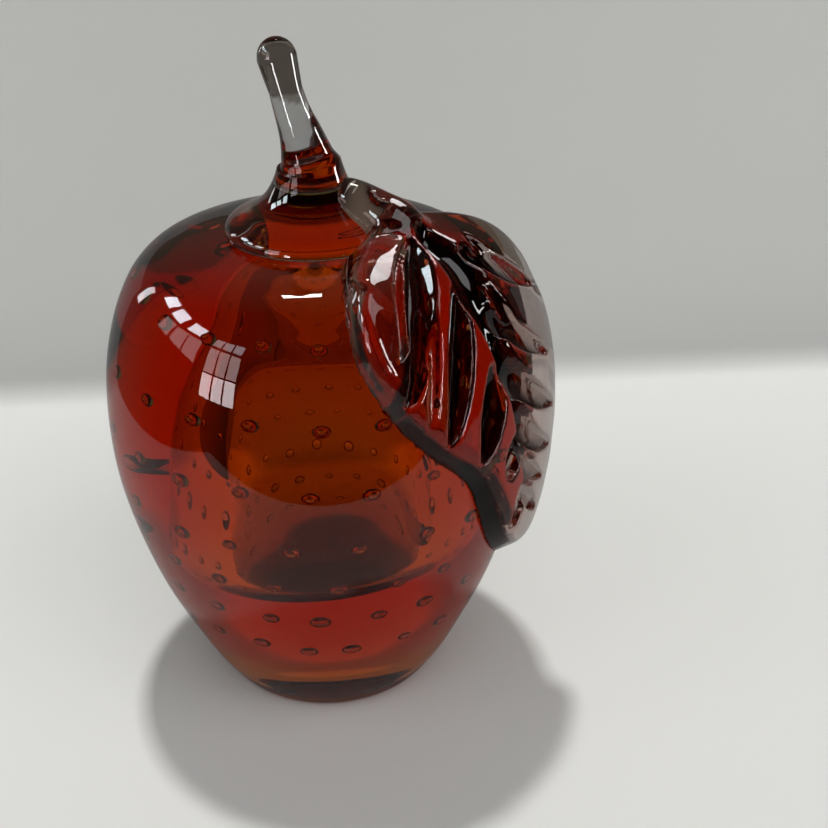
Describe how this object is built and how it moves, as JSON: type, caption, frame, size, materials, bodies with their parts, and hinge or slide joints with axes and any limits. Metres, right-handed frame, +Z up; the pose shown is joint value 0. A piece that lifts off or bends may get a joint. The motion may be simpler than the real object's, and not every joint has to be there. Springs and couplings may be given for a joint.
{
  "type": "art glass apple",
  "caption": "Solid glass apple paperweight with a sealed hollow, a grid of air bubbles, a clear leaning stem and a clear ribbed leaf laid over one shoulder.",
  "frame": {"origin": "middle of the ground flat base, on the surface the apple stands on", "axes": "+Z up through the apple's middle; -Y is the front; the stem leans towards -X and the leaf hangs between +X and -Y"},
  "size_m": [0.1042, 0.1, 0.1581],
  "materials": {
    "amber_core_glass": "deep amber, smooth, with small sealed air bubbles in its skin",
    "amber_casing_glass": "amber to ruby, fire polished, with a ground and polished base",
    "clear_stem_glass": "clear, fire polished",
    "clear_leaf_glass": "clear, fire polished, pressed with raised lobes"
  },
  "bodies": {
    "root": {"core": "amber_core_glass", "casing": "amber_casing_glass", "stem": "clear_stem_glass", "leaf": "clear_leaf_glass"}
  },
  "joints": []
}
